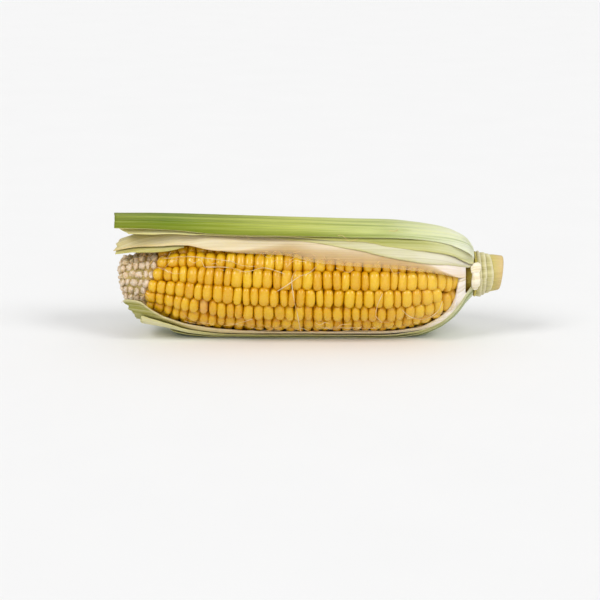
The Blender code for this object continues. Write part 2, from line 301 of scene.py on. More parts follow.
def set_shader(tree, **given):
    """Gives the material's shader its inputs, by name, with _ for a space."""
    for key, value in given.items():
        join(tree, value, tree.nodes["Principled BSDF"].inputs[key.replace("_", " ")])


def tinted(tree, colour, other, value, low, high, most=1.0):
    """A colour that turns to another as a value goes from low to high, and by most of the way at high."""
    share = add(tree, "ShaderNodeMapRange", [value, low, high, 0.0, most])
    return add(tree, "ShaderNodeMix", {"Factor": share, "A": colour, "B": other}, data_type="RGBA")


def patches(tree, vector, size_mm, stretch=(1, 1, 1), detail=2.0):
    """Noise over a vector in metres. A patch is size_mm across, and stretch times that along each axis."""
    scale = [1 / (MM * size_mm * s) for s in stretch]
    scaled = add(tree, "ShaderNodeMapping", {"Vector": vector, "Scale": scale})
    return add(tree, "ShaderNodeTexNoise", {"Vector": scaled, "Scale": 1.0, "Detail": detail})


# Finishes. Each starts from its real surface's typical refraction and roughness.


def kernel_skin():
    """Ripe sweet corn: a thin, smooth, waxy skin over a juicy yellow body. Light goes a millimetre or two
    into it, which warms the gaps, and it has broad, soft highlights. Its colour also holds painted shade,
    darker amber down its sides into the gaps, and a painted highlight, lighter on top of the crown. No two
    kernels are quite the same yellow, and those at the butt are painted paler, as painted light where more
    light falls there."""
    made, tree = new_material("ripe_kernel_skin")
    where = add(tree, "ShaderNodeTexCoord").outputs["Object"]
    along = add(tree, "ShaderNodeSeparateXYZ", [where])
    crown, tone, shrunk = (
        add(tree, "ShaderNodeAttribute", attribute_name=name).outputs["Fac"]
        for name in ("crown", "tone", "shrunk")
    )
    # Ramp by height: painted shade, darker amber down the sides into the gaps, and a painted highlight,
    # lighter on top of the crown.
    body = add(tree, "ShaderNodeValToRGB", [crown], (
        (0.0, "#C48400"), (0.3, "#D09200"), (0.55, "#D69E00"), (0.8, "#DAA606"), (1.0, "#E2B222"),
    ))
    lighter = tinted(tree, body, "#E6BE20", tone, 0.5, 1.0, 0.5)
    toned = tinted(tree, lighter, "#CE8E00", tone, 0.35, 0.0, 0.5)
    dull = tinted(tree, toned, "#DDAA66", shrunk, 0.0, 1.0, 0.6)
    cloudy = tinted(tree, dull, "#E6C220", patches(tree, where, 1.5, detail=3.0), 0.4, 0.72, 0.3)
    pores = patches(tree, where, 1.1, detail=3.0)
    # The tint along the ear paints the kernels at the butt paler: painted light, where more light falls
    # there.
    set_shader(
        tree, Base_Color=tinted(tree, cloudy, "#F2CC58", along, 0.03, 0.075, 0.4), IOR=1.42,
        Specular_IOR_Level=0.45, Coat_Weight=0.45, Coat_Roughness=0.22,
        Roughness=add(tree, "ShaderNodeMapRange", [patches(tree, where, 2.5), 0.3, 0.7, 0.22, 0.34]),
        Normal=add(tree, "ShaderNodeBump", {"Height": pores, "Distance": 0.08 * MM, "Strength": 0.6}),
        Subsurface_Weight=0.3, Subsurface_Scale=0.0014, Subsurface_Radius=(0.85, 0.62, 0.05),
    )
    return made


def bare_tip_skin():
    """Kernels that never filled: dull, dry and chaffy, pinkish beige with whiter tops and olive-brown
    roots."""
    made, tree = new_material("unfilled_kernel_skin")
    where = add(tree, "ShaderNodeTexCoord").outputs["Object"]
    crown, tone = (
        add(tree, "ShaderNodeAttribute", attribute_name=name).outputs["Fac"] for name in ("crown", "tone")
    )
    body = add(tree, "ShaderNodeValToRGB", [crown], (
        (0.0, "#A08A50"), (0.5, "#B29A62"), (0.74, "#C8AE88"), (1.0, "#DECAB2"),
    ))
    warm = tinted(tree, body, "#DDBB8C", tone, 0.3, 1.0, 0.45)
    specked = tinted(tree, warm, "#F6ECDD", patches(tree, where, 0.8, detail=4.0), 0.5, 0.66, 0.6)
    stains = patches(tree, where, 2.1, detail=3.0)
    grain = patches(tree, where, 0.6, detail=4.0)
    set_shader(
        tree, Base_Color=tinted(tree, specked, "#94823C", stains, 0.52, 0.72, 0.5), Roughness=0.55, IOR=1.4,
        Normal=add(tree, "ShaderNodeBump", {"Height": grain, "Distance": 0.3 * MM, "Strength": 0.8}),
        Subsurface_Weight=0.2, Subsurface_Scale=0.001, Subsurface_Radius=(1.0, 0.6, 0.4),
    )
    return made


def cob_chaff():
    """The cob between the kernels: soft, papery chaff over pith, olive at the bare tip and amber under the
    kernels."""
    made, tree = new_material("cob_chaff")
    where = add(tree, "ShaderNodeTexCoord").outputs["Object"]
    along = add(tree, "ShaderNodeSeparateXYZ", [where])
    body = tinted(tree, "#B8A568", "#CC8A20", along, -0.082, -0.070)
    grain = patches(tree, where, 0.6, detail=4.0)
    set_shader(
        tree, Base_Color=tinted(tree, body, "#94782E", patches(tree, where, 1.1, detail=4.0), 0.45, 0.7, 0.6),
        Roughness=0.85, IOR=1.4, Normal=add(tree, "ShaderNodeBump", {"Height": grain, "Distance": 0.4 * MM}),
    )
    return made


def husk_skin(name, stops, vein, shade, margin, dried_and_shade=(1.6, 0.45), gloss=0.42, streak=0.5, thin=False):
    """Fresh husk leaf: parallel veins run its whole length, a fine one every millimetre or less. Its skin is
    satin, and light comes through it. Its colour fades from the tip to the shank by the stops, in long
    streaks of a lighter and a darker shade. The pair after the margin's colour is how far in from its edges
    it turns to that colour, in mm, and how much: on most leaves a dried margin, on the outer leaf a dark
    olive painted shade where it curves under. A thin leaf's margin is see-through."""
    made, tree = new_material(name)
    where = add(tree, "ShaderNodeTexCoord").outputs
    along = add(tree, "ShaderNodeSeparateXYZ", [where["Object"]])
    inwards = add(tree, "ShaderNodeAttribute", attribute_name="margin").outputs["Fac"]
    faded = add(tree, "ShaderNodeMapRange", [along, LEAF_TIP * MM, LEAF_BASE * MM, 0.0, 1.0])
    body = add(tree, "ShaderNodeValToRGB", [faded], stops)
    wide = patches(tree, where["UV"], 2.4, (70, 1, 1))
    fine = patches(tree, where["UV"], 0.7, (90, 1, 1))
    blotches = patches(tree, where["Object"], 9.0, (2.5, 1, 1), detail=3.0)
    light = add(tree, "ShaderNodeMix", {"Factor": 0.4, "A": body, "B": vein}, data_type="RGBA")
    dark = add(tree, "ShaderNodeMix", {
        "Factor": 1.0, "A": body, "B": shade,
    }, data_type="RGBA", blend_type="MULTIPLY")
    skin = tinted(tree, body, light, wide, 0.5, 0.68, streak)
    skin = tinted(tree, skin, dark, wide, 0.5, 0.3, streak)
    skin = tinted(tree, skin, light, fine, 0.5, 0.7, 0.5)
    skin = tinted(tree, skin, dark, fine, 0.46, 0.3, 0.4)
    skin = tinted(tree, skin, margin, inwards, dried_and_shade[0], 0.2, dried_and_shade[1])
    skin = tinted(tree, skin, margin, blotches, 0.5, 0.78, 0.25)
    if thin:
        film = add(tree, "ShaderNodeAttribute", attribute_name="thin").outputs["Fac"]
        skin = tinted(tree, skin, margin, film, 0.0, 0.5, 0.8)
        clear = add(tree, "ShaderNodeMapRange", [film, 0.05, 0.85, 1.0, 0.22])
        veins = add(tree, "ShaderNodeMapRange", [fine, 0.5, 0.7, 0.0, 0.1])
        set_shader(tree, Alpha=add(tree, "ShaderNodeMath", [clear, veins], operation="ADD"))
    set_shader(
        tree, Base_Color=skin, IOR=1.42, Specular_IOR_Level=0.3,
        Roughness=add(tree, "ShaderNodeMapRange", [fine, 0.3, 0.7, gloss - 0.07, gloss + 0.1]),
        Normal=add(tree, "ShaderNodeBump", {"Height": fine, "Distance": 0.07 * MM, "Strength": 0.8}),
        Subsurface_Weight=0.3, Subsurface_Scale=0.001, Subsurface_Radius=(0.9, 1.0, 0.45),
    )
    return made


def shank_skin():
    """The stalk: firm, ribbed and waxy, yellow-green in the shade of the sheath and beige towards the cut.
    Where it lies deepest in shade, in the recess under the husk's rim, it is painted a brighter yellow:
    painted light."""
    made, tree = new_material("shank_skin")
    where = add(tree, "ShaderNodeTexCoord").outputs
    along = add(tree, "ShaderNodeSeparateXYZ", [where["Object"]])
    faded = add(tree, "ShaderNodeMapRange", [along, 0.076, 0.096, 0.0, 1.0])
    # The first stop, by the husk's rim, is a bright yellow painted into the recess where the stalk lies in
    # shade: painted light.
    body = add(tree, "ShaderNodeValToRGB", [faded], (
        (0.0, "#E6C848"), (0.3, "#C8B850"), (0.66, "#BCB25A"), (0.84, "#C4B26A"), (1.0, "#D0B67E"),
    ))
    fine = patches(tree, where["UV"], 0.6, (60, 1, 1))
    lined = tinted(tree, body, "#DCCF88", fine, 0.45, 0.75, 0.4)
    blotches = patches(tree, where["Object"], 3.5, detail=3.0)
    set_shader(
        tree, Base_Color=tinted(tree, lined, "#D0AE62", blotches, 0.5, 0.8, 0.4), IOR=1.42,
        Roughness=add(tree, "ShaderNodeMapRange", [fine, 0.3, 0.7, 0.38, 0.52]),
        Normal=add(tree, "ShaderNodeBump", {"Height": fine, "Distance": 0.12 * MM, "Strength": 0.8}),
        Subsurface_Weight=0.2, Subsurface_Scale=0.001, Subsurface_Radius=(1.0, 0.8, 0.3),
    )
    return made


def cut_pith():
    """The shank's cut face: moist, spongy pith, dotted with the ends of the stalk's fibres, in a firmer
    rind."""
    made, tree = new_material("cut_pith")
    where = add(tree, "ShaderNodeTexCoord").outputs["Object"]
    rim = add(tree, "ShaderNodeAttribute", attribute_name="rind").outputs["Fac"]
    fibres = add(tree, "ShaderNodeTexVoronoi", {"Vector": where, "Scale": 900.0}, feature="F1")
    body = tinted(tree, "#EBDDB2", "#DCC48E", patches(tree, where, 2.2), 0.35, 0.7)
    dotted = tinted(tree, body, "#A98F4E", fibres, 0.34, 0.18, 0.6)
    set_shader(
        tree, Base_Color=tinted(tree, dotted, "#B7A978", rim, 0.72, 0.95), Roughness=0.7, IOR=1.38,
        Normal=add(tree, "ShaderNodeBump", {"Height": fibres, "Distance": 0.15 * MM, "Strength": 0.7}),
        Subsurface_Weight=0.2, Subsurface_Scale=0.001,
    )
    return made


def silk_fibre():
    """Corn silk: a fine, moist fibre, pale gold and shiny, with light coming through it."""
    made, tree = new_material("silk_fibre")
    where = add(tree, "ShaderNodeTexCoord").outputs["Object"]
    set_shader(
        tree, Base_Color=tinted(tree, "#F4DBAC", "#CE9A54", patches(tree, where, 6.0), 0.35, 0.65),
        Roughness=0.36, IOR=1.45, Subsurface_Weight=0.3, Subsurface_Scale=0.0004,
        Subsurface_Radius=(1.0, 0.7, 0.3),
    )
    return made


def studio_white():
    """Matt white paper sweep."""
    made, tree = new_material("studio_paper")
    where = add(tree, "ShaderNodeTexCoord").outputs["Object"]
    paper = tinted(tree, "#EDEDED", "#EEEEEE", patches(tree, where, 60.0), 0.3, 0.7)
    set_shader(tree, Base_Color=paper, Roughness=0.9)
    return made


# Kernels. Each row is a line with outward vectors, along which a node tree sets kernels side by side.


def ringed_mesh(name, rings, top, sides, depth):
    """A solid of rings of (x, y, z) points in mm, from the root up, with a point on top. Its crown
    attribute runs from 0, depth mm down, to 1 on top."""
    points = [p for ring in rings for p in ring] + [top]
    faces = [tuple(reversed(range(sides)))]
    for start in range(0, (len(rings) - 1) * sides, sides):
        for k in range(sides):
            n = (k + 1) % sides
            faces.append((start + k, start + n, start + sides + n, start + sides + k))
    last = (len(rings) - 1) * sides
    faces += [(last + k, last + (k + 1) % sides, len(points) - 1) for k in range(sides)]
    mesh = bpy.data.meshes.new(name)
    mesh.from_pydata([tuple(c * MM for c in p) for p in points], [], faces)
    crown = [min(max(1 + p[2] / depth, 0.0), 1.0) for p in points]
    mesh.attributes.new("crown", "FLOAT", "POINT").data.foreach_set("value", crown)
    mesh.shade_smooth()
    return bpy.data.objects.new(name, mesh)


def kernel_shape(name, square, dome, dent=0.0, lean=0.0):
    """One kernel: a body that its neighbours press flat, under a domed crown with its top at z = 0. square
    is how boxy the crown is, dome its height, dent how deep it is dimpled and lean how far it leans along
    the row, in mm."""
    sides = 12
    rings = []
    for z, wide, long, power in (
        (-8.6, 0.86, 0.62, 6), (-1.6 - dome, 1.01, 0.97, 7), (-dome, 1.0, 1.0, square),
        (-0.5 * dome, 0.89, 0.88, square), (-0.2 * dome - 0.15 * dent, 0.66, 0.64, 2.3),
        (-0.05 * dome - 0.7 * dent, 0.34, 0.32, 2.0),
    ):
        ring = []
        for k in range(sides):
            c, s = (f(2 * math.pi * (k + 0.5) / sides) for f in (math.cos, math.sin))
            x = math.copysign(abs(c) ** (2 / power), c) * KERNEL_WIDTH / 2 * wide
            y = math.copysign(abs(s) ** (2 / power), s) * ROW_WIDTH / 2 * long
            ring.append((x + lean * max(0.0, 1 + z / dome), y, z))
        rings.append(ring)
    return ringed_mesh(name, rings, (lean, 0.0, -dent), sides, depth=3.2)


def unfilled_shape(name, seed):
    """One kernel that never filled: a lumpy bead on a short root, with the scar of its silk on top."""
    rng = np.random.default_rng(seed)
    sides = 8
    round_bead = np.linspace(0, 2 * math.pi, sides, endpoint=False)
    rings = []
    for z, wide in ((-3.2, 0.7), (-1.7, 1.0), (-0.8, 0.98), (-0.25, 0.62)):
        reach = wide * rng.uniform(0.78, 1.12, sides)
        along, across = np.cos(round_bead) * KERNEL_WIDTH / 2, np.sin(round_bead) * ROW_WIDTH / 2
        rings.append([(x * r, y * r, z + rng.uniform(-0.3, 0.3)) for x, y, r in zip(along, across, reach)])
    return ringed_mesh(name, rings, (*rng.uniform(-0.5, 0.5, 2), 0.35), sides, depth=2.8)


def collection_of(name, objects):
    made = bpy.data.collections.new(name)
    for obj in objects:
        made.objects.link(obj)
    return made


def group(name, *sockets):
    """A geometry node tree with those (name, type) inputs. Returns it with their sockets."""
    tree = bpy.data.node_groups.new(name, "GeometryNodeTree")
    tree.interface.new_socket("Geometry", in_out="OUTPUT", socket_type="NodeSocketGeometry")
    for label, kind in sockets:
        tree.interface.new_socket(label, in_out="INPUT", socket_type="NodeSocket" + kind)
    return tree, add(tree, "NodeGroupInput").outputs


def finish_group(tree, geometry, material):
    """Ends the tree: instances made real, and the material set."""
    real = add(tree, "GeometryNodeRealizeInstances", {"Geometry": geometry})
    coloured = add(tree, "GeometryNodeSetMaterial", {"Geometry": real, "Material": material})
    add(tree, "NodeGroupOutput", {"Geometry": coloured})


def shaken(tree, geometry, noise_inputs, reach, **settings):
    """The geometry, with its points moved by smooth noise, by up to half the reach or so each way."""
    waves = add(tree, "ShaderNodeTexNoise", {
        "Vector": add(tree, "GeometryNodeInputPosition"), "Detail": 1.0, **noise_inputs,
    }, **settings)
    middle = (0.5, 0.5, 0.5)
    centred = add(tree, "ShaderNodeVectorMath", [waves.outputs["Color"], middle], operation="SUBTRACT")
    offset = add(tree, "ShaderNodeVectorMath", {"Vector": centred, "Scale": reach}, operation="SCALE")
    return add(tree, "GeometryNodeSetPosition", {"Geometry": geometry, "Offset": offset})


def kernel_row_tree():
    """Kernels of random widths side by side along a line. Each stands on the line, up its outward vector,
    whose length is the row's width there. Each gets its own tone, and a few are shrunken."""
    tree, given = group(
        "kernels_along_row", ("Line", "Geometry"), ("Count", "Int"), ("Narrowest", "Float"),
        ("Widest", "Float"), ("Sway", "Float"), ("Shrunken Share", "Float"), ("Sink", "Float"),
        ("Ripple", "Float"), ("Ripple Size", "Float"), ("Shapes", "Collection"), ("Last Shape", "Int"),
        ("Seed", "Int"), ("Material", "Material"),
    )

    def chance(offset, low, high, kind="FLOAT"):
        seed = add(tree, "ShaderNodeMath", [given["Seed"], offset], operation="ADD")
        limits = {"Probability": high} if kind == "BOOLEAN" else {"Min": low, "Max": high}
        return add(tree, "FunctionNodeRandomValue", {**limits, "Seed": seed}, data_type=kind)

    line = add(tree, "GeometryNodeMeshToCurve", {"Mesh": given["Line"]})
    length = add(tree, "GeometryNodeCurveLength", {"Curve": line})
    points = add(tree, "GeometryNodePoints", {"Count": given["Count"]})

    # Widths are random shares of the line, and each kernel stands at the middle of its own share.
    width = chance(0, given["Narrowest"], given["Widest"])
    sums = add(tree, "GeometryNodeAccumulateField", {"Value": width}, data_type="FLOAT", domain="POINT")
    before, total = (
        next(s for s in sums.outputs if s.enabled and s.name == name) for name in ("Trailing", "Total")
    )
    middle = add(tree, "ShaderNodeMath", [width, 0.5, before], operation="MULTIPLY_ADD")
    outward = add(tree, "GeometryNodeInputNamedAttribute", {"Name": "outward"}, data_type="FLOAT_VECTOR")
    place_along = add(tree, "ShaderNodeMath", [middle, total], operation="DIVIDE")
    spot = add(tree, "GeometryNodeSampleCurve", {
        "Curves": line, "Value": outward, "Factor": place_along,
    }, data_type="FLOAT_VECTOR", mode="FACTOR", use_all_curves=True)
    tangent = spot.outputs["Tangent"]
    row_width = add(tree, "ShaderNodeVectorMath", [spot], operation="LENGTH")

    # Each stands up from the row, leans a little, and fills its share along the row and the row's width.
    upright = add(tree, "FunctionNodeAxesToRotation", {"Primary Axis": spot, "Secondary Axis": tangent})
    lean = add(tree, "ShaderNodeVectorMath", {
        "Vector": chance(1, (-1, -1, -1), (1, 1, 1), "FLOAT_VECTOR"), "Scale": given["Sway"],
    }, operation="SCALE")
    turned = add(tree, "FunctionNodeRotateRotation", {
        "Rotation": upright, "Rotate By": add(tree, "FunctionNodeEulerToRotation", {"Euler": lean}),
    }, rotation_space="LOCAL")
    shrunken = chance(2, None, given["Shrunken Share"], "BOOLEAN")
    share = add(tree, "ShaderNodeMath", [width, total], operation="DIVIDE")
    own_width = add(tree, "ShaderNodeMath", [share, length], operation="MULTIPLY")
    plump = add(tree, "ShaderNodeMath", [shrunken, -0.2, 1.05], operation="MULTIPLY_ADD")
    across = add(tree, "ShaderNodeMath", [own_width, KERNEL_WIDTH * MM], operation="DIVIDE")
    size = add(tree, "ShaderNodeCombineXYZ", [
        add(tree, "ShaderNodeMath", [across, plump], operation="MULTIPLY"),
        add(tree, "ShaderNodeMath", [row_width, ROW_WIDTH * MM], operation="DIVIDE"), chance(3, 0.85, 1.15),
    ])

    # They stand unevenly deep in the cob, the shrunken ones deeper.
    depth = add(tree, "ShaderNodeMath", [given["Sink"], chance(4, -1.0, 0.3)], operation="MULTIPLY")
    deeper = add(tree, "ShaderNodeMath", [shrunken, -0.08, depth], operation="MULTIPLY_ADD")
    set_out = add(tree, "GeometryNodeSetPosition", {
        "Geometry": points, "Position": spot.outputs["Position"],
        "Offset": add(tree, "ShaderNodeVectorMath", {"Vector": spot, "Scale": deeper}, operation="SCALE"),
    })
    shapes = add(tree, "GeometryNodeCollectionInfo", {
        "Collection": given["Shapes"], "Separate Children": True, "Reset Children": True,
    })
    kernels = add(tree, "GeometryNodeInstanceOnPoints", {
        "Points": set_out, "Instance": shapes, "Pick Instance": True,
        "Instance Index": chance(5, 0, given["Last Shape"], "INT"), "Rotation": turned, "Scale": size,
    })
    for name, value in (("tone", chance(6, 0.0, 1.0)), ("shrunk", shrunken)):
        kernels = add(tree, "GeometryNodeStoreNamedAttribute", {
            "Geometry": kernels, "Name": name, "Value": value,
        }, data_type="FLOAT", domain="INSTANCE")
    kernels = add(tree, "GeometryNodeRealizeInstances", {"Geometry": kernels})
    scale = add(tree, "ShaderNodeMath", [1.0, given["Ripple Size"]], operation="DIVIDE")
    finish_group(tree, shaken(tree, kernels, {"Scale": scale}, given["Ripple"]), given["Material"])
    return tree


def grown(tree, name, mesh, **inputs):
    """The plain mesh that the tree makes from a mesh, given its inputs by name."""
    obj = bpy.data.objects.new(name, mesh)
    bpy.context.scene.collection.objects.link(obj)
    modifier = obj.modifiers.new(tree.name, "NODES")
    modifier.node_group = tree
    for item in tree.interface.items_tree:
        if item.in_out == "INPUT" and item.name.replace(" ", "_") in inputs:
            modifier[item.identifier] = inputs[item.name.replace(" ", "_")]
    obj.update_tag()
    evaluated = obj.evaluated_get(bpy.context.evaluated_depsgraph_get())
    made = bpy.data.meshes.new_from_object(evaluated)
    made.name = name
    bpy.data.objects.remove(obj)
    return made


def row_angle(index):
    return FRONT_ROW_ANGLE + 360 * index / ROWS


def row_line(name, index, start, end, radius, width=((0, 1.0), (1, 1.0))):
    """A row's line from start to end, and its length. Its outward vectors' length is the row's width, times
    the width given along the ear."""
    x = np.linspace(start, end, 60)
    reach = curve(radius)(x)
    angle = row_angle(index) + curve(ROW_TWIST)(x)
    points = place(x, angle, reach)
    slope = np.gradient(reach, x)
    a = np.radians(angle)
    outward = np.stack([-slope, -np.cos(a), np.sin(a)], axis=-1)
    wide = 2 * np.pi * reach / ROWS * curve(width)(x)
    outward *= (wide / np.linalg.norm(outward, axis=-1))[:, None] * MM
    mesh = bpy.data.meshes.new(name)
    mesh.from_pydata(points.tolist(), [(k, k + 1) for k in range(len(x) - 1)], [])
    mesh.attributes.new("outward", "FLOAT_VECTOR", "POINT").data.foreach_set("vector", outward.ravel())
    length = np.linalg.norm(np.diff(points, axis=0), axis=1).sum() / MM
    return mesh, length


def row_start(index):
    """Where a row's ripe kernels begin: some rows filled further towards the tip."""
    return KERNEL_START + 3.2 * math.sin(math.radians(2 * (row_angle(index) - 4)))


def kernel_rows():
    """Ripe kernels, row by row, in a few shapes: plump, boxy, square, dimpled, leaning and oval. Every
    second row stops short of the butt, where the others spread over its place. Returns the tree."""
    shapes = collection_of("kernel_shapes", [
        kernel_shape("kernel_plump", 2.6, 2.7, 0.0, 0.1),
        kernel_shape("kernel_boxy", 3.3, 2.2, 0.05, -0.1),
        kernel_shape("kernel_square", 2.9, 2.4),
        kernel_shape("kernel_dimpled", 2.8, 2.4, 0.3, 0.15),
        kernel_shape("kernel_leaning", 2.6, 2.6, 0.05, 0.45),
        kernel_shape("kernel_oval", 2.3, 2.9, 0.0, -0.3),
    ])
    tree = kernel_row_tree()
    skin = kernel_skin()
    for index in range(ROWS):
        if index % 2:
            end, width = KERNEL_END - 9.0, ((-70, 0.92), (-62, 1.0), (60, 1.0), (68, 0.85))
        else:
            end, width = KERNEL_END, ((-70, 0.92), (-62, 1.0), (59, 1.0), (69, 1.6), (76, 1.9))
        line, length = row_line("line", index, row_start(index), end, CROWN, width)
        mesh = grown(
            tree, "kernels_of_row", line, Count=round(length / KERNEL_WIDTH), Narrowest=0.8, Widest=1.22,
            Sway=0.07, Shrunken_Share=0.02, Sink=0.045, Ripple=0.55 * MM, Ripple_Size=3.1 * MM, Shapes=shapes,
            Last_Shape=len(shapes.objects) - 1, Seed=31 * index + 7, Material=skin,
        )
        add_piece(f"kernels_{index + 1:02d}", mesh, "kernel", f"kernel_row_{index + 1:02d}")
    return tree


def tip_start(angle):
    """Where the bare tip begins: it is cut back on its under side."""
    return TIP_END + 0.6 + 1.7 * (1 - np.sin(np.radians(angle + 30)))


def cob(tree):
    """The cob, with the unfilled kernels of its bare tip: small beads in more rows than the ripe ones."""
    skin = bare_tip_skin()
    beads = collection_of("unfilled_shapes", [unfilled_shape(f"unfilled_{k}", k) for k in range(6)])
    share = ROWS / TIP_ROWS
    for number in range(TIP_ROWS):
        index = number * share
        start = float(tip_start(row_angle(index)))
        end = row_start(index) + 0.4
        route = ((start, 5.0), (start + 0.3, 9.0), (start + 1.2, 11.8), *BARE_TIP[2:])
        line, length = row_line("line", index, start, end, route, ((0, share), (1, share)))
        mesh = grown(
            tree, "unfilled_kernels", line, Count=round(length / BEAD_WIDTH), Narrowest=0.7, Widest=1.3,
            Sway=0.3, Shrunken_Share=0.1, Sink=0.2, Ripple=1.6 * MM, Ripple_Size=1.5 * MM, Shapes=beads,
            Last_Shape=len(beads.objects) - 1, Seed=17 * number + 3, Material=skin,
        )
        add_piece(f"unfilled_kernels_{number + 1:02d}", mesh, "cob_pith", "cob")

    # Stations are close at the bare tip, and the first three and the last close the ends.
    along = np.concatenate([[0.0] * 3, np.linspace(0.02, 0.13, 24), np.linspace(0.14, 1, 40)])[None, :]
    round_ear = np.linspace(0, 360, 96, endpoint=False)[:, None]
    start = tip_start(round_ear) + 0.9
    x = start + (COB_BOX[1].x / MM - start) * along
    radius = np.where(x < -72, curve(BARE_TIP)(x) - 1.5, curve(CORE)(x) + 0.2)
    radius[:, :3] = (0.05, 3.5, 7.5)
    radius[:, -1] = 0.05
    lumps = noise(round_ear / 7.5, x / 2.0, 5) * 0.35 * (radius > 1)
    mesh = grid_mesh("cob_core", place(x, round_ear, radius + lumps), closed=True)
    add_piece("cob_core", mesh, "cob_pith", "cob", materials=[cob_chaff()])


# Husk.


def seam(angle, side):
    """A leaf's edge where it laps its neighbour. The lap closes up towards the base."""
    open_lap, closed_lap = angle + 4 * side, angle - 1.5 * side
    return ((LEAF_TIP, open_lap), (58, open_lap), (69, closed_lap), (LEAF_BASE, closed_lap))


def layer(number, lap=0.0):
    """The radius of a husk layer, raised by lap where it covers its neighbour's edge."""
    side, step, stand, round_ear = (curve(c) for c in (INNER_SIDE, LAYER_STEP, FLARE, FLARE_ROUND))
    raised = curve(((67, lap), (74, 0.0)))
    return lambda x, angle: side(x) + number * step(x) + raised(x) + stand(x) * round_ear(angle)


def profile(points, raised=0.0):
    """The radius of a leaf that is the same all round it."""
    along = curve(points)
    return lambda x, angle: along(x) + raised


def swelling(points, edge, heights):
    """The radius of a leaf that rises from its first edge, by those heights along the ear, in the next 14
    degrees."""
    along, first, height = curve(points), curve(edge), curve(heights)
    return lambda x, angle: along(x) + height(x) * smooth_step(np.clip((angle - first(x)) / 14, 0, 1))


def thicken(piece, wall, inside=0):
    """Gives a sheet its wall, inwards, and the inside and the rim their own material."""
    made = piece.modifiers.new("wall", "SOLIDIFY")
    made.thickness = wall * MM
    made.offset = -1.0
    made.material_offset = inside
    made.material_offset_rim = inside


def husk_leaf(
    name, node, slot, materials, edges, radii, tips, seed, lowest=None, base=LEAF_BASE, torn=(0.0, 0.0),
    ragged=0.3, flute=0.3, rib=0.05, curl=LEVEL, rim=LEVEL, thin=None, margin_inset=LEVEL, wander=0.5, turn=0.0,
    wall=LEAF_WALL,
):
    """One husk leaf, a thin wall round a fine grid.

    edges and radii each hold its first and last edge, and turn is how far round it keeps to the first radius.
    tips gives where the cut end is across the leaf, and torn how much shorter its edges are at the base.
    ragged is how uneven the cut is in mm, and wander how uneven the edges are in degrees. flute and rib are
    the heights of its folds and of its ribs. curl is how far its first edge is lifted along the ear, and rim
    its last. thin gives, along the ear, how wide its see-through margin is, and the one after it how far in
    from its edges the margin's colour begins, which on the outer leaf keeps its painted shade off the edges
    towards the base."""
    first, last = (curve(edge) for edge in edges)
    near, far = radii

    # The grid's places: t goes across the leaf and s along it, closer together towards the base.
    mid = (first(0.0) + last(0.0)) / 2
    width = float(abs(last(0.0) - first(0.0)) * np.pi / 180 * near(0.0, mid))
    across = max(int(width / GRID_STEP), 12)
    t = np.linspace(0, 1, across + 1)[:, None]
    s = np.linspace(0, 1, 121)[None, :]
    start = curve(tips)(t)
    start = start + ragged * (noise(t * width / 5, 0.5, seed) + 0.6 * noise(t * width / 1.3, 3.5, seed))
    tears = (smooth_step(np.clip(reach, 0, 1)) for reach in ((0.38 - t) / 0.16, (t - 0.66) / 0.14))
    end = base - sum(depth * tear for depth, tear in zip(torn, tears))
    x = start + (end - start) * (1 - (1 - s) ** 1.4)

    # Its edges wander and its folds stand out less and less towards the base, where the layers press
    # together.
    still = np.clip((70 - x) / 20, 0, 1)
    uneven = noise(x / 11, 0.5, seed + 1) + 0.4 * noise(x / 3.1, 0.5, seed + 2)
    low = first(x) + wander * still * uneven
    high = last(x) + wander * still * noise(x / 13, 9.5, seed + 3)
    angle = low + (high - low) * t
    turned = smooth_step(np.clip((t - turn) / (1 - turn), 0, 1))
    radius = near(x, angle) + (far(x, angle) - near(x, angle)) * turned
    v = np.radians(angle) * VEIN_RADIUS
    waves = noise(v / 6.5, x / 60, seed + 4) + 0.5 * noise(v / 3.0, x / 45, seed + 5)
    ribs = np.cos(2 * np.pi * (v / RIB_SPACING + 0.8 * noise(v / 9, x / 80, seed + 6)))

    # Distances from the first edge and from the last bend the edges up or down, and mark the margins.
    margin = (angle - low) * np.pi / 180 * radius
    other = (high - angle) * np.pi / 180 * radius
    lift = curve(curl)(x) * np.exp(-margin / 3) * (0.9 + 0.25 * noise(x / 16, 2.5, seed + 7))
    lift = lift + curve(rim)(x) * np.exp(-((other / 2) ** 2))
    radius = radius + still * flute * waves + np.clip((84 - x) / 6, 0, 1) * lift + rib * ribs
    marks = {"margin": np.minimum(np.minimum(margin, other) + curve(margin_inset)(x), WELL_INSIDE)}
    if thin is not None:
        reach = curve(thin)(x)
        marks["thin"] = np.where(reach > 0.05, np.clip(1 - margin / np.maximum(reach, 0.05), 0, 1), 0.0)
    uv = np.stack([x * MM, v * MM], axis=-1)
    mesh = grid_mesh(name, place(x, angle, radius, lowest), uv, marks)
    leaf = add_piece(name, mesh, slot, node, materials=materials)
    thicken(leaf, wall, len(materials) - 1)


